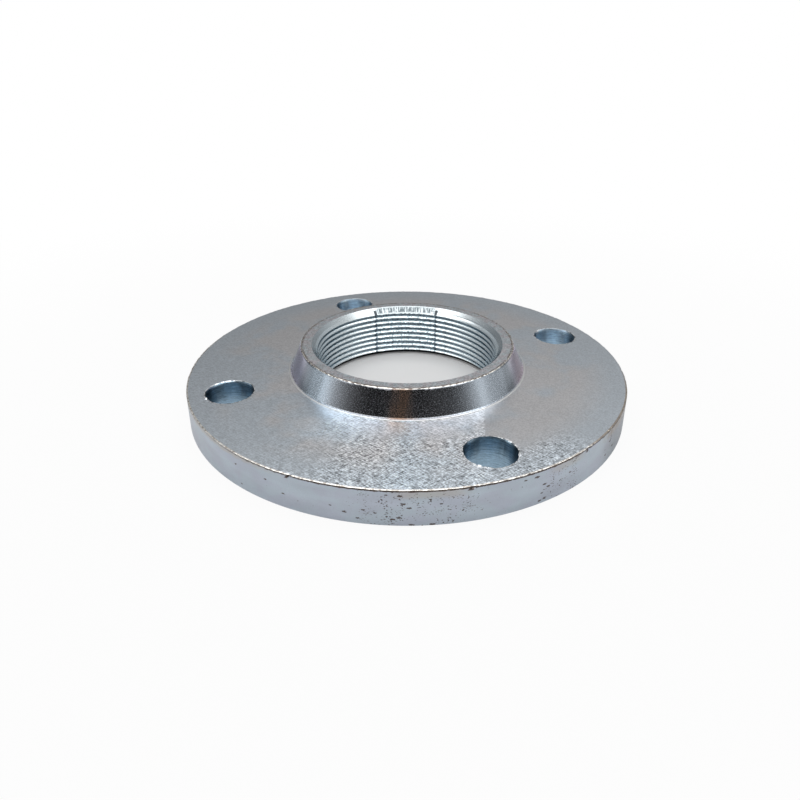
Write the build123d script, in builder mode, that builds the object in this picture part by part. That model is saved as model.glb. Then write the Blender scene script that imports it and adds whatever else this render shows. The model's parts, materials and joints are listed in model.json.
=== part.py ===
from build123d import *
from math import radians, tan
import os

# Threaded flange for 2 1/2 inch pipe, in millimetres.
# One steel forging, turned all over, drilled and tapped. The origin is the centre of
# the flat mating face, and +Z runs along the bore, out through the hub.

# Bolting plate
plate_thickness = 13.0
bolt_circle_diameter = 145.0
bolt_hole_diameter = 17.5
bolt_hole_count = 4
first_bolt_hole_angle = 45.0
rim_beyond_bolt_circle = 15.5

# Bore: its wall is the tip diameter of the pipe thread
thread_tip_diameter = 72.226
hub_lead_in_depth = 2.9
face_lead_in_depth = 2.0
lead_in_angle = 45.0

# Tapered hub
hub_height = 10.0
hub_taper_angle = 22.0
hub_end_land = 4.5

# Ring that the facing cut leaves round the foot of the hub
foot_ring_width = 1.2
foot_ring_height = 0.25
foot_ring_round = 0.15
foot_fillet = 0.6

# Broken edges
rim_edge_break = 0.3
hub_end_edge_break = 0.3

# Radii and heights that follow from them
bore_radius = thread_tip_diameter / 2
lead_in_slope = tan(radians(lead_in_angle))
face_mouth_radius = bore_radius + face_lead_in_depth * lead_in_slope
hub_mouth_radius = bore_radius + hub_lead_in_depth * lead_in_slope
hub_end_radius = hub_mouth_radius + hub_end_land
hub_end_z = plate_thickness + hub_height
foot_ring_z = plate_thickness + foot_ring_height
foot_radius = hub_end_radius + (hub_end_z - foot_ring_z) * tan(radians(hub_taper_angle))
foot_ring_radius = foot_radius + foot_ring_width
bolt_circle_radius = bolt_circle_diameter / 2
plate_radius = bolt_circle_radius + rim_beyond_bolt_circle

with BuildPart() as flange:
    # Half of the turned section, with the bore on the left and the rim on the right
    with BuildSketch(Plane.XZ) as half_section:
        with BuildLine():
            Polyline(
                (face_mouth_radius, 0),
                (plate_radius, 0),
                (plate_radius, plate_thickness),
                (foot_ring_radius, plate_thickness),
                (foot_ring_radius, foot_ring_z),
                (foot_radius, foot_ring_z),
                (hub_end_radius, hub_end_z),
                (hub_mouth_radius, hub_end_z),
                (bore_radius, hub_end_z - hub_lead_in_depth),
                (bore_radius, face_lead_in_depth),
                close=True,
            )
        make_face()

        rim_corners = half_section.vertices().group_by(Axis.X)[-1]
        chamfer(rim_corners, rim_edge_break)

        hub_end_corner = half_section.vertices().group_by(Axis.Y)[-1].sort_by(Axis.X)[-1]
        chamfer(hub_end_corner, hub_end_edge_break)

        ring_corners = half_section.vertices().filter_by_position(
            Axis.Y, foot_ring_z, foot_ring_z
        ).sort_by(Axis.X)
        fillet(ring_corners[0], foot_fillet)
        fillet(ring_corners[-1], foot_ring_round)
    revolve(axis=Axis.Z)

    # Bolt holes, drilled square through the plate from the mating face
    with Locations(Plane.XY):
        with PolarLocations(bolt_circle_radius, bolt_hole_count, first_bolt_hole_angle):
            Hole(bolt_hole_diameter / 2)

flange.part.label = "flange"

os.makedirs("parts", exist_ok=True)
export_step(flange.part, "parts/flange.step")
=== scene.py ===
import json
import math

import bpy
import numpy as np
from mathutils import Matrix, Vector
from mathutils.geometry import delaunay_2d_cdt


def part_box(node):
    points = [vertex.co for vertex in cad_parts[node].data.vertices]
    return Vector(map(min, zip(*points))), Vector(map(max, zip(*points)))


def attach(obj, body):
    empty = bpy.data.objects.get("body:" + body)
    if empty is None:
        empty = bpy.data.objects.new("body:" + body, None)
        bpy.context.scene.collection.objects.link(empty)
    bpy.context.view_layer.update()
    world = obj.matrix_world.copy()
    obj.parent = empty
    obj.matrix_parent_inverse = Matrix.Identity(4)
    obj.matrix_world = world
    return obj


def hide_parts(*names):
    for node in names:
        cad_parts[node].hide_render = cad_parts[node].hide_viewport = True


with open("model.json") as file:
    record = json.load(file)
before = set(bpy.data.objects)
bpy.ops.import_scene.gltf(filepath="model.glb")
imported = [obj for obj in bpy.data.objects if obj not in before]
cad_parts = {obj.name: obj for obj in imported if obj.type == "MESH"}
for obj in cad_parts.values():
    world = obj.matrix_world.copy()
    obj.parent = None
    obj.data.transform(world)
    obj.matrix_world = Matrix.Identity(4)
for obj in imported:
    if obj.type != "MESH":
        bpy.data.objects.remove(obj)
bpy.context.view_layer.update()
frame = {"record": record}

# The viewpoint: a wide lens close above the flange, with the hub end facing up and one
# bolt hole in front. The place is measured in the part's frame, in metres.
eye = Vector((0.0951, -0.2236, 0.1292))
view_right = Vector((0.92146, 0.38846, 0.00376))
view_up = Vector((-0.1591, 0.36853, 0.9159))

camera_data = bpy.data.cameras.new("camera")
camera_data.sensor_width = 36.0
camera_data.lens = 28.98
camera_data.shift_x = -0.0125
camera_data.shift_y = -0.075
camera_data.clip_start = 0.01
camera = bpy.data.objects.new("camera", camera_data)
axes = Matrix((view_right, view_up, view_right.cross(view_up))).transposed()
camera.matrix_world = Matrix.Translation(eye) @ axes.to_4x4()
bpy.context.collection.objects.link(camera)
bpy.context.scene.camera = camera


# The forging: one ring of steel, turned all over on a lathe. Its skin is built as
# rings of points round the bore axis, in millimetres, with a finish for each band.
MM = 0.001
FACING, RIM, TAPER, THREAD, DRILLED = range(5)


class Skin:
    """The points and faces of the flange's surface, with a finish for every face."""

    def __init__(self):
        self.points = []
        self.faces = []
        self.finishes = []

    def ring(self, radius, height, count, centre=(0.0, 0.0)):
        """Adds a ring of points. The radius and the height may vary round the ring."""
        turn = np.arange(count) * 2 * math.pi / count
        radius = np.broadcast_to(radius, count)
        height = np.broadcast_to(height, count)
        first = len(self.points)
        x = centre[0] + radius * np.cos(turn)
        y = centre[1] + radius * np.sin(turn)
        self.points.extend(zip(x.tolist(), y.tolist(), height.tolist()))
        return list(range(first, first + count))

    def face(self, corners, finish):
        """Adds one face, or none where its corners have run together."""
        kept = [c for k, c in enumerate(corners) if c != corners[k - 1]]
        if len(set(kept)) == len(kept) > 2:
            self.faces.append(kept)
            self.finishes.append(finish)

    def band(self, first, second, finish):
        """Joins two rings of the same count. The second lies further along the section."""
        for k in range(len(first)):
            self.face((first[k - 1], first[k], second[k], second[k - 1]), finish)

    def flat(self, rims, holes, up, finish):
        """Fills a flat face between the rings in rims, the widest first, round the holes."""
        loops = [*rims, *holes]
        known = [index for loop in loops for index in loop]
        spot = {index: k for k, index in enumerate(known)}
        edges = [(spot[loop[k - 1]], spot[loop[k]]) for loop in loops for k in range(len(loop))]
        flat_points = [Vector(self.points[index][:2]) for index in known]
        result = delaunay_2d_cdt(flat_points, edges, [], 0, 1e-7)
        triangles, sources = result[2], result[3]
        outer, inner = (np.array([flat_points[spot[i]] for i in rim]) for rim in rims)
        hole_loops = [np.array([flat_points[spot[i]] for i in hole]) for hole in holes]
        for triangle in triangles:
            corners = [known[sources[t][0]] for t in triangle]
            middle = sum((Vector(self.points[c][:2]) for c in corners), Vector((0, 0))) / 3
            if not inside(middle, outer) or inside(middle, inner):
                continue
            if any(inside(middle, loop) for loop in hole_loops):
                continue
            a, b, c = (Vector(self.points[corner]) for corner in corners)
            faces_up = (b - a).cross(c - a).z > 0
            self.face(corners if faces_up == up else corners[::-1], finish)


def inside(point, loop):
    """Tells whether a point lies inside a closed, nearly round loop of points."""
    middle = loop.mean(axis=0)
    arm = np.array(point) - middle
    step = 2 * math.pi / len(loop)
    start = math.atan2(loop[0][1] - middle[1], loop[0][0] - middle[0])
    turn = ((math.atan2(arm[1], arm[0]) - start) / step) % len(loop)
    k = int(turn)
    near, far = loop[k], loop[(k + 1) % len(loop)]
    side = (far[0] - near[0]) * (point[1] - near[1]) - (far[1] - near[1]) * (point[0] - near[0])
    return side > 0


def ragged(count, lump, seed):
    """Random heights round a closed edge, about -1 to 1, in lumps that many points long."""
    noise = np.fft.rfft(np.random.default_rng(seed).standard_normal(count))
    waves = np.arange(noise.size)
    noise *= np.exp(-0.5 * (waves * lump * 2.0 / count) ** 2)
    noise[0] = 0
    heights = np.fft.irfft(noise, count)
    return heights / (2.2 * heights.std())


def bump_at(count, degrees, width):
    """A smooth bump round a ring, 1 at an angle in degrees and some degrees wide."""
    turn = np.arange(count) * 360.0 / count
    away = (turn - degrees + 180.0) % 360.0 - 180.0
    return np.exp(-((away / width) ** 2))


skin = Skin()
mounts = {mount["name"]: mount for mount in frame["record"]["mounts"]}
low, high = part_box("flange")
plate_radius = high[0] / MM
total_height = high[2] / MM
plate_z = mounts["nut_face"]["pos_m"][2] / MM


# The rim of the plate: turned smooth, with its corners broken. The upper corner is
# ragged, with a raised burr and a few knocks from handling.
RIM_COUNT = 1440
edge_break = 0.3
burr_height = 0.16
edge_wobble = 0.15
hold_back = 0.5
GUARD = 0.15
knocks = ((268.8, 0.5, 0.6), (306.1, 0.7, 0.8), (335.4, 0.6, 0.6), (346.2, 0.5, 0.4), (121.0, 0.5, 0.3), (18.0, 0.5, 0.3))

knocked = sum(depth * bump_at(RIM_COUNT, at, width) for at, width, depth in knocks)
wobble = edge_wobble * ragged(RIM_COUNT, 4, 11)
burr = burr_height * np.clip(ragged(RIM_COUNT, 3, 12), 0, 1) * (0.5 + ragged(RIM_COUNT, 40, 13))
fall = np.clip(edge_break + wobble + 0.6 * knocked, 0.08, 2)
pull = np.clip(0.5 * edge_break + wobble + knocked, 0.04, 2)

face_edge = skin.ring(plate_radius - edge_break, 0.0, RIM_COUNT)
rim_foot = skin.ring(plate_radius, edge_break, RIM_COUNT)
rim_shoulder = skin.ring(plate_radius, plate_z - 3 * edge_break, RIM_COUNT)
rim_top = skin.ring(plate_radius - 0.5 * knocked, plate_z - fall, RIM_COUNT)
rim_burr = skin.ring(plate_radius - 0.5 * pull - 0.04, plate_z - 0.25 * fall + burr, RIM_COUNT)
rim_inner = skin.ring(plate_radius - 1.6 * pull - 0.1, plate_z + 0.6 * burr, RIM_COUNT)
rim_level = skin.ring(plate_radius - 2.4 * pull - hold_back, plate_z, RIM_COUNT)
plate_edge = skin.ring(plate_radius - 2.4 * pull - hold_back - GUARD, plate_z, RIM_COUNT)
rim_rings = (face_edge, rim_foot, rim_shoulder, rim_top, rim_burr, rim_inner, rim_level, plate_edge)
rim_finishes = (RIM, RIM, RIM, RIM, FACING, FACING, FACING)
for k, finish in enumerate(rim_finishes):
    skin.band(rim_rings[k], rim_rings[k + 1], finish)


class Wire:
    """A socket of a material. Sums and products of wires add the Math nodes they need."""

    def __init__(self, tree, socket=None):
        self.tree = tree
        self.socket = socket

    def node(self, kind, settings=None, sockets=None, output=0):
        """Adds any other node: first its settings, then the values or links of its sockets."""
        made = self.tree.nodes.new("ShaderNode" + kind)
        for name, value in (settings or {}).items():
            setattr(made, name, value)
        for name, value in (sockets or {}).items():
            if isinstance(value, Wire):
                self.tree.links.new(value.socket, made.inputs[name])
            else:
                made.inputs[name].default_value = value
        return Wire(self.tree, made.outputs[output] if made.outputs else None)

    def maths(self, operation, first, second=0.0):
        return self.node("Math", {"operation": operation}, {0: first, 1: second})

    def __add__(self, other):
        return self.maths("ADD", self, other)

    def __radd__(self, other):
        return self.maths("ADD", other, self)

    def __sub__(self, other):
        return self.maths("SUBTRACT", self, other)

    def __rsub__(self, other):
        return self.maths("SUBTRACT", other, self)

    def __mul__(self, other):
        return self.maths("MULTIPLY", self, other)

    def __rmul__(self, other):
        return self.maths("MULTIPLY", other, self)

    def __truediv__(self, other):
        return self.maths("DIVIDE", self, other)

    def __pow__(self, other):
        return self.maths("POWER", self, other)


class Plating:
    """One finish of the zinc plating, with the places on the flange that its marks need."""

    def __init__(self, name, roughness):
        self.material = bpy.data.materials.new(name)
        self.material.use_nodes = True
        tree = self.material.node_tree
        self.shader = tree.nodes["Principled BSDF"]
        self.shader.inputs["Metallic"].default_value = 1.0
        self.shader.inputs["Roughness"].default_value = roughness
        self.wire = Wire(tree)
        place = self.wire.node("TexCoord", output=3)
        self.place = self.wire.node("VectorMath", {"operation": "SCALE"}, {0: place, "Scale": 1 / MM})
        self.x = self.wire.node("SeparateXYZ", sockets={0: self.place}, output=0)
        self.y = self.wire.node("SeparateXYZ", sockets={0: self.place}, output=1)
        self.z = self.wire.node("SeparateXYZ", sockets={0: self.place}, output=2)
        self.radius = (self.x * self.x + self.y * self.y) ** 0.5
        self.degrees = self.wire.maths("ARCTAN2", self.y, self.x) * (180 / math.pi)

    def point(self, x, y, z):
        """A place made of three wires or numbers, for a noise to be read at."""
        return self.wire.node("CombineXYZ", sockets={0: x, 1: y, 2: z})

    def noise(self, place, scale, detail=2.0):
        """Soft random values round 0.5, with lumps that are about 1 / scale wide."""
        return self.wire.node("TexNoise", sockets={"Vector": place, "Scale": scale, "Detail": detail})

    def crystals(self, place, scale):
        """A random value from 0 to 1 for each small cell."""
        colour = self.wire.node("TexVoronoi", sockets={"Vector": place, "Scale": scale}, output=1)
        return self.wire.node("SeparateColor", sockets={0: colour})

    def smooth(self, value, low, high):
        """Rises from 0 to 1 while the value goes from low to high."""
        return self.wire.node("MapRange", {"interpolation_type": "SMOOTHSTEP"}, {0: value, 1: low, 2: high})

    def between(self, value, low, high, soft):
        """About 1 from low to high, and 0 further out, with soft ends."""
        rise = self.smooth(value, low - soft, low + soft)
        return rise * (1 - self.smooth(value, high - soft, high + soft))

    def from_angle(self, at):
        """How many degrees a place lies past an angle, from -180 to 180."""
        return self.wire.node("Math", {"operation": "WRAP"}, {0: self.degrees - at, 1: 180.0, 2: -180.0})

    def mix(self, mask, under, over):
        """Lays one colour over another, as far as the mask says."""
        under, over = ((*c, 1.0) if isinstance(c, tuple) else c for c in (under, over))
        return self.wire.node("Mix", {"data_type": "RGBA"}, {0: mask, 6: under, 7: over}, 2)

    def shade(self, colour, tone):
        """Makes a colour lighter or darker."""
        return self.wire.node("VectorMath", {"operation": "SCALE"}, {0: colour, "Scale": tone})

    def paint(self, **looks):
        """Links what varies over the surface to the shader."""
        for socket, value in looks.items():
            self.wire.tree.links.new(value.socket, self.shader.inputs[socket.replace("_", " ")])

    def grained(self, height, depth):
        """Raises a grain of that depth in millimetres."""
        sockets = {"Strength": 1.0, "Distance": depth * MM, "Height": height}
        self.paint(Normal=self.wire.node("Bump", sockets=sockets))


rim_plating = Plating("zinc_on_rim", 0.28)
p = rim_plating
arc = p.degrees * (math.pi / 180 * plate_radius)

# Thin blue-grey zinc with cloudy drifts, and a greener patch where it ran thin.
zinc = p.mix(p.smooth(p.from_angle(214), -16, 22), (0.43, 0.44, 0.42), (0.43, 0.485, 0.54))
clouds = p.noise(p.point(arc * 0.05, p.z * 0.22, 0.0), 1.0, 3.0)
speckle = p.noise(p.place, 2.2, 1.0)
# Painted shade darkens the far right of the rim.
shaded_far_right = p.between(p.from_angle(5), -20, 25, 6)
tone = (0.93 + 0.38 * clouds + 0.12 * speckle) * (1 - 0.42 * shaded_far_right)
# Rust has come through in small pits, in groups along the front.
groups = p.between(p.from_angle(296), -14, 13, 5) + p.between(p.from_angle(327), -4.5, 7, 3)
groups = groups + 0.55 * p.between(p.from_angle(344), -5, 6, 4) + 0.18
scatter = p.noise(p.point(arc * 0.28, p.z * 0.28, 4.0), 1.0, 2.0)
crumbs = p.noise(p.point(arc * 1.3, p.z * 2.4, 9.0), 1.0, 1.0)
pits = p.smooth(crumbs + 0.15 * groups + 0.5 * scatter, 1.07, 1.11)
pit_places = (
    (262.8, 8.5, 0.30), (267.2, 5.4, 0.32), (254.1, 8.9, 0.26), (255.5, 2.2, 0.22), (280.7, 3.9, 0.42),
    (283.4, 2.2, 0.34), (284.5, 5.4, 0.32), (286.8, 4.6, 0.28), (289.0, 11.3, 0.30), (291.7, 11.1, 0.40),
    (292.4, 8.2, 0.36), (293.5, 6.7, 0.44), (290.2, 2.5, 0.42), (291.5, 3.2, 0.46), (294.0, 0.6, 0.42),
    (298.1, 0.6, 0.48), (299.8, 7.9, 0.30), (317.4, 11.0, 0.30), (320.3, 10.9, 0.48), (322.4, 7.2, 0.42),
    (323.5, 5.9, 0.36), (321.9, 4.3, 0.32), (322.6, 1.8, 0.46), (321.4, 1.4, 0.36), (329.6, 7.5, 0.30),
    (344.1, 3.7, 0.36), (348.2, 4.5, 0.40), (346.0, 8.0, 0.40), (277.8, 5.5, 0.24),
)
for at, height, size in pit_places:
    sideways = p.from_angle(at) * (math.pi / 180 * plate_radius / (2.2 * size))
    upward = (p.z - height) * (1 / size)
    away = sideways * sideways + upward * upward
    pits = p.wire.maths("MAXIMUM", pits, 1 - p.smooth(away + 3.2 * crumbs, 2.1, 2.5))
rust = p.mix(speckle, (0.035, 0.022, 0.016), (0.16, 0.105, 0.075))
# Under the upper corner runs a broken line from near black to rust brown, strongest in
# front and darker in the knocks, and a tan bloom in two places.
frayed = p.noise(p.point(arc * 0.45, 0.0, 2.0), 1.0, 3.0)
front = p.between(p.from_angle(300), -48, 75, 12)
under_edge = p.smooth(p.z + 1.6 * frayed, plate_z + 0.20, plate_z + 0.40) * (0.25 + 0.75 * front)
black_line = p.smooth(p.z + 0.5 * frayed, plate_z - 0.40, plate_z - 0.28) * p.between(p.from_angle(303), -33, 31, 3)
under_edge = p.wire.maths("MAXIMUM", 0.8 * under_edge, black_line * p.smooth(speckle, 0.30, 0.44))
for at, half_width in ((268.8, 0.35), (306.1, 0.6), (335.4, 0.4)):
    knock = p.between(p.from_angle(at) - 0.5 * (p.z - plate_z), -half_width, half_width, 0.15)
    under_edge = p.wire.maths("MAXIMUM", under_edge, knock * p.smooth(p.z, plate_z - 1.5, plate_z - 1.1))
bloom = p.between(p.from_angle(297.5), -6.5, 7, 2.5) + 0.8 * p.between(p.from_angle(328.5), -4, 5, 2)
bloom = bloom + 0.8 * p.between(p.from_angle(355), -12, 12, 4)
bloom = bloom * p.smooth(p.z + 1.5 * clouds + 1.6 * speckle, plate_z - 2.1, plate_z - 0.4)
stain = p.smooth(p.z + 2.4 * scatter, plate_z - 0.7, plate_z + 0.4) * p.between(p.from_angle(245), -32, 18, 8)
haze = p.smooth(p.noise(p.point(arc * 0.10, p.z * 0.16, 5.0), 1.0, 2.0), 0.38, 0.62)
colour = p.shade(p.mix(0.4 * haze, zinc, (0.455, 0.46, 0.55)), tone - 0.05 * haze)
colour = p.mix(0.45 * stain, colour, (0.52, 0.47, 0.38))
colour = p.mix(0.42 * bloom, colour, (0.50, 0.43, 0.35))
drips = p.smooth(p.noise(p.point(arc * 0.7, p.z * 0.4, 6.0), 1.0, 2.0), 0.43, 0.53)
drips = drips * p.between(p.from_angle(357), -13, 14, 3) * p.smooth(p.z, plate_z - 5.0, plate_z - 1.5)
colour = p.mix(0.65 * drips, colour, (0.27, 0.225, 0.19))
colour = p.mix(0.92 * under_edge, colour, p.mix(frayed, (0.02, 0.016, 0.014), (0.15, 0.10, 0.075)))
colour = p.mix(0.85 * pits, colour, rust)
p.paint(Base_Color=colour, Roughness=0.24 + 0.12 * clouds + 0.25 * pits)
p.grained(speckle - 0.8 * pits, 0.02)


# The hub: a short taper that stands on a faint ring, left where the facing cut stopped,
# with a tool-nose fillet at its foot. The corner of its end is broken and ragged.
HUB_COUNT = 720
thread = mounts["pipe_thread"]
tip_radius = thread["dims"]["r_mm"]
wall_length = thread["dims"]["length_mm"]
lead_in_depth = 2.9
face_lead_in_depth = total_height - wall_length - lead_in_depth
end_land = 4.5
taper_angle = math.radians(22.0)
foot_ring_width = 1.2
foot_ring_height = 0.25
foot_ring_round = 0.15
foot_fillet = 0.6
FILLET_STEPS = 6

end_mouth_radius = tip_radius + lead_in_depth
end_radius = end_mouth_radius + end_land
ring_z = plate_z + foot_ring_height
foot_radius = end_radius + (total_height - ring_z) * math.tan(taper_angle)
ring_radius = foot_radius + foot_ring_width
tangent = foot_fillet / math.tan((math.pi / 2 + taper_angle) / 2)

hub_wobble = 0.15 * ragged(HUB_COUNT, 2.5, 21)
end_break = np.clip(0.33 + hub_wobble + 0.16 * ragged(HUB_COUNT, 14, 22), 0.08, 1)
plate_hold = skin.ring(ring_radius + hold_back + GUARD, plate_z, HUB_COUNT)
hub_rings = [plate_hold, skin.ring(ring_radius + hold_back, plate_z, HUB_COUNT)]
hub_rings.append(skin.ring(ring_radius + 0.05, plate_z + 0.01, HUB_COUNT))
for step in range(3):
    lean = step / 2 * math.pi / 2
    hub_rings.append(skin.ring(
        ring_radius - foot_ring_round * (1 - math.cos(lean)),
        ring_z - foot_ring_round * (1 - math.sin(lean)),
        HUB_COUNT,
    ))
for step in range(FILLET_STEPS):
    lean = math.radians(270) - step / (FILLET_STEPS - 1) * (math.pi / 2 - taper_angle)
    hub_rings.append(skin.ring(
        foot_radius + tangent + foot_fillet * math.cos(lean),
        ring_z + foot_fillet + foot_fillet * math.sin(lean),
        HUB_COUNT,
    ))
flat_rings = len(hub_rings) - FILLET_STEPS
taper_top = total_height - 1.2 * end_break
hub_rings.append(skin.ring(
    end_radius + 2.0 * math.tan(taper_angle), total_height - 2.0, HUB_COUNT
))
for height in (taper_top - 0.08, taper_top):
    hub_rings.append(skin.ring(end_radius + (total_height - height) * math.tan(taper_angle), height, HUB_COUNT))
taper_rings = len(hub_rings)
hub_rings.append(skin.ring(end_radius - 0.35 * end_break, total_height - 0.35 * end_break, HUB_COUNT))
hub_rings.append(skin.ring(end_radius - 1.3 * end_break, total_height, HUB_COUNT))
hub_rings.append(skin.ring(end_radius - 1.3 * end_break - 0.35, total_height, HUB_COUNT))
end_hold = skin.ring(end_radius - 1.3 * end_break - 0.35 - GUARD, total_height, HUB_COUNT)
hub_rings.append(end_hold)
for k in range(len(hub_rings) - 1):
    skin.band(hub_rings[k], hub_rings[k + 1], TAPER if flat_rings <= k < taper_rings else FACING)

# The zinc on the taper is coarse, left from the rough turned face under it, with a violet
# tint round the sides. The darker front and the brown streak down it are painted reflection.
taper_plating = Plating("zinc_on_hub", 0.2)
p = taper_plating
arc = p.degrees * (math.pi / 180 * foot_radius)
grain = p.noise(p.point(arc * 0.8, p.z * 1.9 + arc * 0.12, 0.0), 2.2, 2.0)
glints = p.smooth(p.noise(p.point(arc * 1.0, p.z * 1.7, 6.0), 2.2, 1.0), 0.56, 0.70)
streaks = p.noise(p.point(arc * 0.45, p.z * 0.12, 2.0), 1.0, 2.0)
front = p.between(p.from_angle(291), -32, 26, 15)
brown_reflection = p.between(p.from_angle(289.5) + 8 * (streaks - 0.5), -3.5, 5.0, 3.5)
violet = p.between(p.from_angle(222), -14, 10, 8)
magenta = p.between(p.from_angle(7), -10, 14, 7)
# Painted reflection: the front of the taper is darker.
colour = p.mix(front, (0.49, 0.55, 0.615), (0.31, 0.32, 0.345))
# Painted highlight: a bright blue band on the left side.
colour = p.mix(p.between(p.from_angle(246), -10, 7, 6), colour, (0.56, 0.66, 0.76))
colour = p.mix(0.75 * violet, colour, (0.475, 0.445, 0.59))
colour = p.mix(0.75 * magenta, colour, (0.56, 0.44, 0.53))
# Painted reflection: a brown streak down the front.
colour = p.mix(0.78 * brown_reflection * (0.5 + grain), colour, (0.33, 0.20, 0.13))
# Painted shade darkens two narrow bands on the sides; painted light brightens the rear sides.
painted_shade = 0.42 * p.between(p.from_angle(236), -5, 5, 3) + 0.4 * p.between(p.from_angle(351), -4, 3.5, 2.5)
pale = p.between(p.from_angle(206), -30, 10, 6) + p.between(p.from_angle(18), -10, 30, 6)
tone = (0.66 + 0.48 * p.smooth(grain, 0.34, 0.68) + 0.10 * streaks + 0.30 * glints) * (1 - painted_shade + 0.36 * pale)
rough = 0.13 + 0.20 * p.smooth(grain, 0.40, 0.72) + 0.08 * glints
p.paint(Base_Color=p.shade(colour, tone), Roughness=rough, Metallic=1 - 0.45 * brown_reflection * grain)
p.grained(grain, 0.010)


# The bore: countersunk at both ends and tapped with a right-hand pipe thread, 11 turns
# to the inch. The tap stopped twice, which left two seams and chattered tips between.
BORE_COUNT = 576
pitch = 25.4 / 11
thread_depth = 0.640327 * pitch
tip_flat = pitch / 6
flank_angle = math.radians(27.5)
root_round = 0.137329 * pitch
first_tip_z = 21.15
first_tip_turn = math.radians(180 + 22.76)
seams = ((136.0, 1.0), (92.2, 1.0), (84.4, 0.5))
chatter_from, chatter_to = 92.2, 136.0

arc_half = root_round * math.cos(flank_angle)
arc_depth = root_round * (1 - math.sin(flank_angle))
root_at = pitch / 2
flank = [
    (0.5 * tip_flat, 0.0),
    (root_at - arc_half, thread_depth - arc_depth),
    (root_at - 0.5 * arc_half, thread_depth - root_round + math.sqrt(root_round**2 - 0.25 * arc_half**2)),
    (root_at, thread_depth),
]
worn_depth = 0.60
worn = [(-0.10, 0.0), (0.13, 0.17), (0.5 * tip_flat + worn_depth * math.tan(flank_angle), worn_depth)]
section = worn + flank[1:] + [(pitch - along, depth) for along, depth in reversed(flank[:-1])]
steps = len(section)
along = np.array([point[0] for point in section])
depths = np.array([point[1] for point in section])

turn = np.arange(BORE_COUNT) * 2 * math.pi / BORE_COUNT
degrees = np.degrees(turn)
rise = pitch * (turn - first_tip_turn) / (2 * math.pi)
turns_down = math.ceil(total_height / pitch) + 2
levels = np.arange(-turns_down, 4)
row_z = first_tip_z + (levels[:, None] * pitch + along[None, :]).ravel()
row_depth = np.tile(depths, len(levels))
z = row_z[None, :] + rise[:, None]
nicked = np.zeros(BORE_COUNT)
for at, strength in seams:
    nicked += 0.22 * strength * bump_at(BORE_COUNT, at, 0.5)
in_chatter = np.clip((degrees - chatter_from) / 2, 0, 1) * np.clip((chatter_to - degrees) / 2, 0, 1)
chatter = np.random.default_rng(31).standard_normal(z.shape)
chatter = (chatter + np.roll(chatter, 1, axis=0)) * in_chatter[:, None]
tip_near = np.clip(1 - row_depth / thread_depth, 0, 1) ** 2
z = z + 0.06 * chatter * tip_near[None, :]
threaded = tip_radius + row_depth[None, :] + tip_near[None, :] * nicked[:, None]
threaded = threaded + 0.035 * np.clip(chatter, 0, 2) * tip_near[None, :]


def countersink(height):
    """The radius that the two countersinks leave at a height."""
    upper = end_mouth_radius - (total_height - height)
    lower = tip_radius + face_lead_in_depth - height
    return np.maximum(upper, lower)


# Where the thread runs out into a countersink, the nearest point of each column moves
# onto the crossing, which keeps that edge crisp.
gap = threaded - countersink(z)
for column, row in np.argwhere(gap[:, :-1] * gap[:, 1:] < 0):
    share = gap[column, row] / (gap[column, row] - gap[column, row + 1])
    crossing = z[column, row] + share * (z[column, row + 1] - z[column, row])
    crossing_radius = threaded[column, row] + share * (threaded[column, row + 1] - threaded[column, row])
    moved = row if share < 0.5 else row + 1
    z[column, moved] = crossing
    threaded[column, moved] = crossing_radius
radius = np.maximum(threaded, countersink(z))

end_mouth = skin.ring(end_mouth_radius, total_height, BORE_COUNT)
face_mouth = skin.ring(tip_radius + face_lead_in_depth, 0.0, BORE_COUNT)
SNAP = 0.06
grid = np.zeros(z.shape, dtype=int)
for column in range(BORE_COUNT):
    for row in range(z.shape[1]):
        if z[column, row] > total_height - SNAP:
            grid[column, row] = end_mouth[column]
        elif z[column, row] < SNAP:
            grid[column, row] = face_mouth[column]
        else:
            grid[column, row] = len(skin.points)
            reach = radius[column, row]
            skin.points.append((
                reach * math.cos(turn[column]), reach * math.sin(turn[column]), z[column, row]
            ))
for column in range(BORE_COUNT):
    after = (column + 1) % BORE_COUNT
    shift = steps if after == 0 else 0
    for row in range(z.shape[1] - 1 - shift):
        corners = (
            grid[column, row + 1], grid[after, row + 1 + shift],
            grid[after, row + shift], grid[column, row],
        )
        skin.face([int(corner) for corner in corners], THREAD)
skin.flat((end_hold, end_mouth), (), True, FACING)

# The roots are painted dark as painted shade, most at the sides, and the upper countersink is
# painted darker as painted shade, at the rear and on its outer part at the sides. The tips are
# marked where the tap stopped, and the countersink has chatter marks over the same arc.
thread_plating = Plating("zinc_on_thread", 0.22)
p = thread_plating
arc = p.degrees * (math.pi / 180 * tip_radius)
fine = p.noise(p.point(arc, p.z * 2.0, 0.0), 1.5, 2.0)
in_lead = p.smooth(p.z, total_height - lead_in_depth - 0.1, total_height - lead_in_depth + 0.25)
at_sides = 1 - p.between(p.from_angle(113), -62, 62, 22)
reach = p.radius + 0.38 * at_sides
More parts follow.
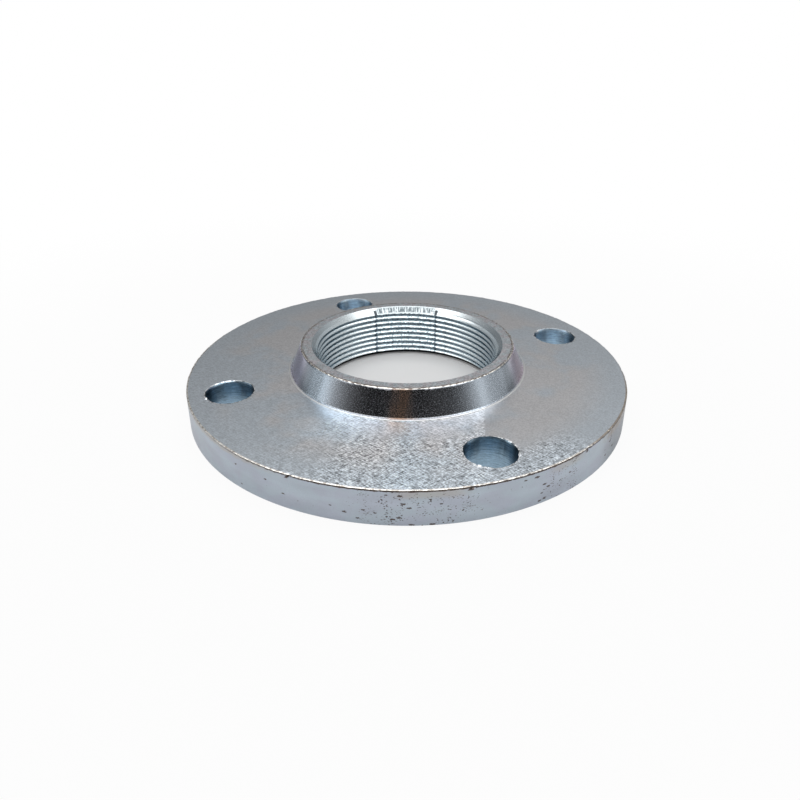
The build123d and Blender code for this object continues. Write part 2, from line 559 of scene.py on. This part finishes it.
# Painted shade in the roots of the thread.
shaded_roots = p.smooth(reach, tip_radius + 0.74, tip_radius + 1.12) * (1 - in_lead)
stops = p.between(p.from_angle(136.0), -0.9, 0.8, 0.3) + p.between(p.from_angle(92.2), -0.8, 0.7, 0.3)
stops = stops + 0.5 * p.between(p.from_angle(84.4), -0.5, 0.5, 0.3)
stops = stops * p.smooth(fine, 0.30, 0.48) * (1 - in_lead)
chattered = p.between(p.from_angle(114), -21, 21, 1.5)
scratches = p.smooth(p.noise(p.point(arc * 2.1, p.z * 0.4, 3.0), 1.0, 2.0), 0.44, 0.53)
chips = p.smooth(p.noise(p.point(arc * 1.2, p.z * 1.1, 7.0), 1.0, 1.0), 0.53, 0.61) * (1 - in_lead)
ticks = scratches * in_lead * p.between(p.z, total_height - 2.2, total_height - 0.35, 0.2)
digs = p.between(p.from_angle(136.0), -0.8, 1.3, 0.3) + p.between(p.from_angle(92.2), -1.2, 0.8, 0.3)
digs = digs * p.between(p.z + 0.8 * fine, total_height - 2.4, total_height - 0.5, 0.2)
bright = p.mix(at_sides, (0.76, 0.83, 0.86), (0.72, 0.82, 0.89))
# Painted shade on the upper countersink.
painted_shade = in_lead * (0.28 + 0.20 * chattered - 0.30 * at_sides)
painted_shade = painted_shade + 0.32 * at_sides * p.smooth(p.radius, tip_radius + 1.2, tip_radius + 1.6) * in_lead
bright = p.shade(bright, 1 + 0.14 * chattered * (1 - in_lead) - painted_shade)
colour = p.mix(shaded_roots, bright, p.mix(at_sides, (0.37, 0.45, 0.50), (0.13, 0.20, 0.25)))
colour = p.mix(0.92 * ticks * chattered, colour, (0.08, 0.10, 0.11))
colour = p.mix(0.6 * chips * chattered, colour, (0.24, 0.31, 0.36))
colour = p.mix(0.75 * stops, colour, (0.15, 0.20, 0.24))
colour = p.mix(0.95 * digs, colour, (0.02, 0.025, 0.03))
# Painted shade darkens the lower countersink to near black, below the last turns of the thread.
exit_shade = 1 - p.smooth(p.z, 1.7, 2.2)
colour = p.mix(0.96 * exit_shade, colour, (0.012, 0.013, 0.015))
p.paint(Base_Color=p.shade(colour, 0.85 + 0.3 * fine), Roughness=0.16 + 0.16 * fine)


# The bolt holes: drilled through from the mating face, so the drill broke out on the
# upper side and left ragged burrs there. The walls keep the drill's rings.
HOLE_COUNT = 160
bolts = mounts["bolt_circle"]["dims"]
bolt_circle_radius = bolts["pcd_mm"] / 2
hole_radius = bolts["hole_r_mm"]
# For each hole: how rough its edge is, its burrs as angle, half width and size, and the
# stretch of its edge that was pressed down.
hole_edges = {
    45.0: (0.6, ((215, 30, 0.8),), (160, 9, 1.5)),
    135.0: (0.4, ((330, 25, 0.6),), (300, 20, 0.5)),
    225.0: (0.9, ((236, 20, 2.4), (60, 20, 0.7)), (138, 34, 1.0)),
    315.0: (1.3, ((118, 40, 0.5), (16, 14, 2.2), (266, 18, 1.6)), (58, 22, 0.8)),
}
upper_edges, lower_edges = [], []
for number, (at, (roughness, burrs, (pressed_at, pressed_width, pressed_size))) in enumerate(hole_edges.items()):
    centre = (
        bolt_circle_radius * math.cos(math.radians(at)),
        bolt_circle_radius * math.sin(math.radians(at)),
    )
    torn = roughness * ragged(HOLE_COUNT, 2.5, 40 + number)
    lifted = 0.5 * roughness * np.clip(ragged(HOLE_COUNT, 7, 50 + number), 0, 1)
    flakes = np.clip(0.5 + ragged(HOLE_COUNT, 1.6, 60 + number), 0, 2)
    curl = sum(size * bump_at(HOLE_COUNT, where, width) for where, width, size in burrs) * flakes
    pressed = pressed_size * bump_at(HOLE_COUNT, pressed_at, pressed_width) * (0.7 + 0.3 * flakes)
    rings = (
        skin.ring(hole_radius + 0.15, 0.0, HOLE_COUNT, centre),
        skin.ring(hole_radius, 0.2, HOLE_COUNT, centre),
        skin.ring(hole_radius, plate_z - 0.9, HOLE_COUNT, centre),
        skin.ring(hole_radius + 0.20 + 0.05 * torn, plate_z - 0.35 - 0.1 * torn, HOLE_COUNT, centre),
        skin.ring(
            hole_radius + 0.36 + 0.09 * torn - 0.10 * curl,
            plate_z - 0.04 + 0.12 * lifted + 0.20 * curl - 0.20 * pressed, HOLE_COUNT, centre,
        ),
        skin.ring(
            hole_radius + 0.54 + 0.09 * torn + 0.12 * curl + 0.36 * pressed,
            plate_z + 0.06 * lifted + 0.05 * curl - 0.02 * pressed, HOLE_COUNT, centre,
        ),
        skin.ring(hole_radius + 1.25, plate_z, HOLE_COUNT, centre),
        skin.ring(hole_radius + 1.25 + GUARD, plate_z, HOLE_COUNT, centre),
    )
    for k in range(len(rings) - 1):
        skin.band(rings[k + 1], rings[k], DRILLED if 0 < k < 4 else FACING)
    lower_edges.append(rings[0])
    upper_edges.append(rings[-1])

# The plating in the holes is thin and blue, over the rings that the drill cut. Painted
# shade darkens two sides of each hole, and painted light brightens the holes further back.
drilled_plating = Plating("zinc_in_bolt_holes", 0.3)
p = drilled_plating
hole_at = bolt_circle_radius * math.sqrt(0.5)
hole_x = p.x - p.wire.maths("SIGN", p.x) * hole_at
hole_y = p.y - p.wire.maths("SIGN", p.y) * hole_at
sideways = p.wire.maths("ABSOLUTE", 0.92 * hole_x + 0.39 * hole_y)
rings = p.noise(p.point(hole_x * 0.16, hole_y * 0.16, p.z * 2.4), 1.0, 3.0)
scores = p.noise(p.point(hole_x * 0.5, hole_y * 0.5, p.z * 4.5 + hole_x * 0.9), 1.0, 1.0)
specks = p.noise(p.place, 2.2, 1.0)
# Painted shade on two sides of each hole, and painted light on the holes further back.
shaded_sides = p.smooth(sideways, 0.74 * hole_radius, hole_radius)
lit_further_back = p.smooth(p.y, -20, 20)
tone = 0.20 + 1.3 * rings + 0.80 * scores + 0.5 * (specks - 0.5)
tone = tone * (1 + 0.62 * lit_further_back) * (1 - 0.75 * shaded_sides)
blue = p.mix(rings, (0.24, 0.36, 0.46), (0.36, 0.46, 0.54))
grey_blue = p.mix(rings, (0.26, 0.34, 0.41), (0.36, 0.42, 0.47))
colour = p.shade(p.mix(lit_further_back, blue, grey_blue), tone)
# A painted highlight shows as one bright glint inside the hole on the right.
glint_x = p.x - hole_at + 8.3
glint_y = p.y - hole_at - 2.7
painted_glint = 1 - p.smooth((glint_x * glint_x + glint_y * glint_y) ** 0.5, 0.7, 1.4)
painted_glint = painted_glint * p.smooth(p.z, plate_z - 2.2, plate_z - 1.6)
p.paint(Base_Color=p.mix(painted_glint, colour, (0.93, 0.96, 0.98)))
p.grained(rings + scores, 0.05)


# The two flat faces: the upper one that the nuts sit on, and the mating face.
skin.flat((plate_edge, plate_hold), upper_edges, True, FACING)
skin.flat((face_edge, face_mouth), lower_edges, False, FACING)

mesh = bpy.data.meshes.new("plated_flange")
mesh.from_pydata([Vector(point) * MM for point in skin.points], [], skin.faces)
mesh.polygons.foreach_set("material_index", skin.finishes)
mesh.polygons.foreach_set("use_smooth", [True] * len(skin.faces))
mesh.set_sharp_from_angle(angle=math.radians(32))
mesh.update()
mesh.validate()
flange = bpy.data.objects.new("plated_flange", mesh)
bpy.context.collection.objects.link(flange)
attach(flange, "root")
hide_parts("flange")

# The facing tool left fine rings round the bore, and the sander a second set of arcs
# across them. In front the zinc is coarser and sparkles, with a painted sheen by the hub:
# a painted reflection of light off the hub onto the plate, ending in a sharp edge.
facing_plating = Plating("zinc_on_faces", 0.3)
p = facing_plating
fine = p.noise(p.place, 1.8, 3.0)
grit = p.smooth(fine, 0.36, 0.64)
crystals = p.crystals(p.place, 2.1)
cut_rings = p.noise(p.point(p.radius * 1.4, p.degrees * 0.05, 0.0), 1.0, 2.0)
one_way = p.point(0.65 * p.x + 1.72 * p.y, 0.30 * p.x - 0.11 * p.y, 5.0)
other_way = p.point(1.64 * p.x - 0.96 * p.y, 0.15 * p.x + 0.26 * p.y, 15.0)
hatch = p.smooth(p.noise(one_way, 1.0, 2.0), 0.36, 0.64) + p.smooth(p.noise(other_way, 1.0, 2.0), 0.36, 0.64)
patches = p.noise(p.place, 0.045, 3.0)
mottle = p.noise(p.place, 0.35, 3.0)
on_top = p.between(p.z, plate_z - 0.35, plate_z + 0.8, 0.15)

beyond_sheen = p.smooth(p.x + 0.31 * p.y, 33.0, 33.9)
from_front = p.from_angle(300)
sheen = p.between(from_front + 0.12 * p.radius, -30, 52, 7) * (1 - beyond_sheen)
sheen = sheen * (1 - 0.55 * p.smooth(p.radius + 6 * mottle, 60, 72))
coarse_from = 60.0 + 16.5 * beyond_sheen
coarse = p.smooth(p.radius - coarse_from + 5 * mottle, -2, 6)
coarse = coarse * p.between(from_front, -27, 36, 7) * on_top
rough_zone = p.wire.maths("MAXIMUM", coarse, 0.55 * sheen * on_top)

outer = p.smooth(p.radius + 10 * patches, 74, 90)
warm = (1 - outer) * p.smooth(patches, 0.40, 0.58)
colour = p.mix(warm, (0.535, 0.585, 0.635), (0.59, 0.588, 0.60))
# Painted reflection: a blue sheen left of the hub, and a bluer patch inside the sheen.
blue_sheen = p.between(from_front, -42, -20, 9) * (1 - p.smooth(p.radius + 6 * mottle, 64, 76)) * on_top
bluer_reflection = p.wire.maths("MAXIMUM", 0.6 * blue_sheen, p.between(from_front, -11, -4, 4) * sheen * on_top)
colour = p.mix(bluer_reflection, colour, (0.56, 0.66, 0.75))
tone = 0.84 + 0.19 * grit + 0.08 * cut_rings + 0.12 * mottle + 0.05 * crystals
tone = tone + rough_zone * (0.22 * (crystals - 0.66) + 0.30 * (grit - 0.54) + 0.50 * (hatch - 1.10))
tone = tone + 0.11 * p.between(from_front, -120, -5, 20) * (hatch - 1.0)
# Painted light and shade round the sheen: brighter inside its edge, darker past it and by the hub.
shaded_past_edge = beyond_sheen * p.between(from_front, 5, 50, 8)
edge_glow = p.between(p.x + 0.31 * p.y, 29.5, 34.0, 1.5) * (1 - beyond_sheen) * p.between(from_front, 5, 50, 8)
shaded_by_hub = p.between(from_front, 6, 26, 5) * (1 - p.smooth(p.radius, 56, 63))
tone = tone * (1 + on_top * (0.02 * sheen + 0.14 * blue_sheen + 0.22 * edge_glow - 0.04 * shaded_past_edge - 0.12 * shaded_by_hub))

# The hub's end has faint violet and green tints, and a broken brown line at its corner.
on_end = p.smooth(p.z, total_height - 0.35, total_height - 0.2)
tints = p.smooth(p.noise(p.point(p.x, p.y, 8.0), 0.4, 3.0), 0.40, 0.60)
tone = tone + 0.30 * on_end * (grit - 0.5)
colour = p.mix(0.8 * on_end, colour, p.mix(tints, (0.50, 0.555, 0.59), (0.535, 0.515, 0.545)))
blotches = p.smooth(p.noise(p.place, 0.9, 3.0), 0.50, 0.58)
worn_line = p.smooth(p.noise(p.place, 0.9, 3.0), 0.45, 0.52)
end_stain = p.between(p.radius, end_radius - 1.15, end_radius - 0.45, 0.15) * on_end * worn_line
colour = p.mix(0.85 * end_stain, p.shade(colour, tone), (0.17, 0.13, 0.105))
# A painted highlight runs along the front of the end's corner, broken by brown.
front_corner_highlight = p.between(p.radius, end_radius - 1.0, end_radius - 0.3, 0.12) * on_end * p.between(from_front, -50, 36, 9)
colour = p.mix(front_corner_highlight * p.smooth(mottle, 0.36, 0.46), colour, p.mix(worn_line, (0.74, 0.71, 0.66), (0.20, 0.165, 0.14)))
hub_corner = p.smooth(p.z, total_height - 0.9, total_height - 0.7) * p.smooth(p.radius, end_radius - 0.60, end_radius - 0.5)
colour = p.mix(hub_corner, colour, p.mix(worn_line, (0.14, 0.11, 0.09), (0.74, 0.72, 0.67)))
# A painted highlight runs round the edge of the faint ring at the hub's foot.
foot_highlight = p.between(p.radius, ring_radius - 0.35, ring_radius + 0.02, 0.08) * p.between(p.z, ring_z - 0.2, ring_z + 0.1, 0.04)
colour = p.mix(0.8 * foot_highlight, colour, (0.85, 0.86, 0.86))
# The rim's upper corner is bare and bright in front, and brown past that on the right.
rim_corner = p.smooth(p.radius, plate_radius - 0.8, plate_radius - 0.5) * on_top * p.between(from_front, -115, 75, 10)
bare = p.mix(p.smooth(from_front, 34, 40), (0.82, 0.80, 0.76), (0.44, 0.39, 0.33))
colour = p.mix(rim_corner, colour, p.mix(0.7 * blotches, bare, (0.27, 0.225, 0.19)))
# Bare steel shows on the torn lips of the bolt holes, in bright and dark blotches that
# are also painted highlights and painted shade on the burrs.
aside = p.wire.maths("ABSOLUTE", p.x) - hole_at
along_y = p.wire.maths("ABSOLUTE", p.y) - hole_at
from_hole = (aside * aside + along_y * along_y) ** 0.5
bare_and_lit_lips = 1 - p.smooth(from_hole, hole_radius + 0.55, hole_radius + 0.80)
colour = p.mix(bare_and_lit_lips, colour, p.mix(blotches, (0.82, 0.84, 0.85), (0.16, 0.17, 0.18)))
roughness = 0.27 + 0.05 * fine + 0.12 * rough_zone * (crystals + fine - 0.4)
p.paint(Base_Color=colour, Roughness=roughness)
p.grained(fine + 0.6 * crystals * rough_zone + 0.5 * cut_rings, 0.012)

for finish in (facing_plating, rim_plating, taper_plating, thread_plating, drilled_plating):
    mesh.materials.append(finish.material)


# The studio: a pale floor and a white room, which both show as plain white. A large soft
# light hangs overhead, and grey screens stand round the flange to give the metal its tones.
paper = bpy.data.materials.new("white_paper")
paper.use_nodes = True
tree = paper.node_tree
tree.nodes.clear()
wire = Wire(tree)


def seen_straight(wire, by_camera, by_mirror):
    """How much plain white the camera sees, and mirror or clear surfaces see."""
    camera_ray, mirror_ray, clear_ray = (wire.node("LightPath", output=k) for k in (0, 3, 6))
    return by_camera * camera_ray + by_mirror * wire.maths("MAXIMUM", mirror_ray, clear_ray)


matt = wire.node("BsdfDiffuse", sockets={"Color": (0.82, 0.82, 0.82, 1)})
glow = wire.node("Emission", sockets={"Color": (1, 1, 1, 1), "Strength": 1.0})
spot = wire.node("VectorMath", {"operation": "LENGTH"}, {0: wire.node("TexCoord", output=3)}, 1)
outside = wire.node("MapRange", {"interpolation_type": "SMOOTHSTEP"}, {0: spot, 1: 0.05, 2: 0.07, 3: 0.0, 4: 1.0})
far_off = wire.node("MapRange", {"interpolation_type": "SMOOTHSTEP"}, {0: spot, 1: 0.10, 2: 0.40, 3: 0.0, 4: 1.0})
near_share = 0.94
bore_share = 0.10
share = bore_share + (near_share - bore_share) * outside + (1 - near_share) * far_off
mirror_share = 0.35 * outside + 0.65 * far_off
mixed = wire.node("MixShader", sockets={0: seen_straight(wire, share, mirror_share), 1: matt, 2: glow})
wire.node("OutputMaterial", sockets={0: mixed})
floor_half = 3.0
floor_mesh = bpy.data.meshes.new("floor")
corners = [(-floor_half, -floor_half, 0), (floor_half, -floor_half, 0), (floor_half, floor_half, 0), (-floor_half, floor_half, 0)]
floor_mesh.from_pydata(corners, [], [(0, 1, 2, 3)])
floor_mesh.materials.append(paper)
floor = bpy.data.objects.new("floor", floor_mesh)
bpy.context.collection.objects.link(floor)

world = bpy.data.worlds.new("studio")
bpy.context.scene.world = world
world.use_nodes = True
tree = world.node_tree
tree.nodes.clear()
wire = Wire(tree)
dim = wire.node("Background", sockets={"Color": (1, 1, 1, 1), "Strength": 0.25})
white = wire.node("Background", sockets={"Color": (1, 1, 1, 1), "Strength": 1.0})
mixed = wire.node("MixShader", sockets={0: seen_straight(wire, 1.0, 1.0), 1: dim, 2: white})
wire.node("OutputWorld", sockets={0: mixed})

CAMERA_SIDE = 293.0


def screen(name, from_angle, to_angle, heights, tone_at):
    """Stands a curved screen round the flange, with its grey given by angle and height."""
    distance = 0.7
    bends = 32
    points, faces = [], []
    for height in heights:
        for k in range(bends + 1):
            at = math.radians(CAMERA_SIDE + from_angle + (to_angle - from_angle) * k / bends)
            points.append((distance * math.cos(at), distance * math.sin(at), height))
    for row in range(len(heights) - 1):
        for k in range(bends):
            a = row * (bends + 1) + k
            faces.append((a, a + 1, a + bends + 2, a + bends + 1))
    screen_mesh = bpy.data.meshes.new(name)
    screen_mesh.from_pydata(points, [], faces)
    tone = screen_mesh.color_attributes.new("tone", "FLOAT_COLOR", "POINT")
    for row, height in enumerate(heights):
        for k in range(bends + 1):
            grey = tone_at(from_angle + (to_angle - from_angle) * k / bends, height)
            tone.data[row * (bends + 1) + k].color = (grey, grey, grey, 1)
    material = bpy.data.materials.new(name)
    material.use_nodes = True
    material.node_tree.nodes.clear()
    wire = Wire(material.node_tree)
    grey = wire.node("VertexColor", {"layer_name": "tone"})
    glow = wire.node("Emission", sockets={"Color": grey, "Strength": 1.0})
    wire.node("OutputMaterial", sockets={0: glow})
    screen_mesh.materials.append(material)
    shown = bpy.data.objects.new(name, screen_mesh)
    shown.visible_camera = False
    shown.visible_diffuse = False
    shown.visible_shadow = False
    bpy.context.collection.objects.link(shown)


def behind(angle, height):
    across = min(max(angle, 140), 220)
    grey = (0.31 + 0.21 * min(max((height - 0.24) / 0.26, 0), 1)) * (1 + 0.005 * (180 - across))
    left_end = min(max((angle - 228) / 20, 0), 1)
    right_end = min(max((102 - angle) / 22, 0), 1)
    return grey + 0.13 * left_end + 0.25 * right_end


def in_front(angle, height):
    if angle < 0:
        sides = 0.62 * max((-30 - angle) / 40, 0) ** 2.2
    else:
        sides = 0.06 * min(max((angle - 10) / 18, 0), 1) + 0.8 * max((angle - 30) / 40, 0) ** 3
    return 0.012 + sides + 4.0 * max(height - 0.30, 0)


screen("grey_screen_behind", 78, 274, (-0.02, 0.24, 0.37, 0.50, 0.85), behind)
screen("black_screen_in_front", -78, 70, (0.0, 0.30, 0.40), in_front)

overhead_data = bpy.data.lights.new("overhead_light", "AREA")
overhead_data.shape = "RECTANGLE"
overhead_data.size = 0.90
overhead_data.size_y = 0.60
overhead_radiance = 1.8
overhead_data.energy = overhead_radiance * math.pi * overhead_data.size * overhead_data.size_y
overhead = bpy.data.objects.new("overhead_light", overhead_data)
toward = Vector((math.cos(math.radians(CAMERA_SIDE)), math.sin(math.radians(CAMERA_SIDE)), 0))
overhead.location = Vector((0, 0, 0.6)) + toward * -0.05
overhead.rotation_euler = (0, 0, math.radians(CAMERA_SIDE + 90))
bpy.context.collection.objects.link(overhead)

bpy.context.scene.view_settings.view_transform = "Standard"
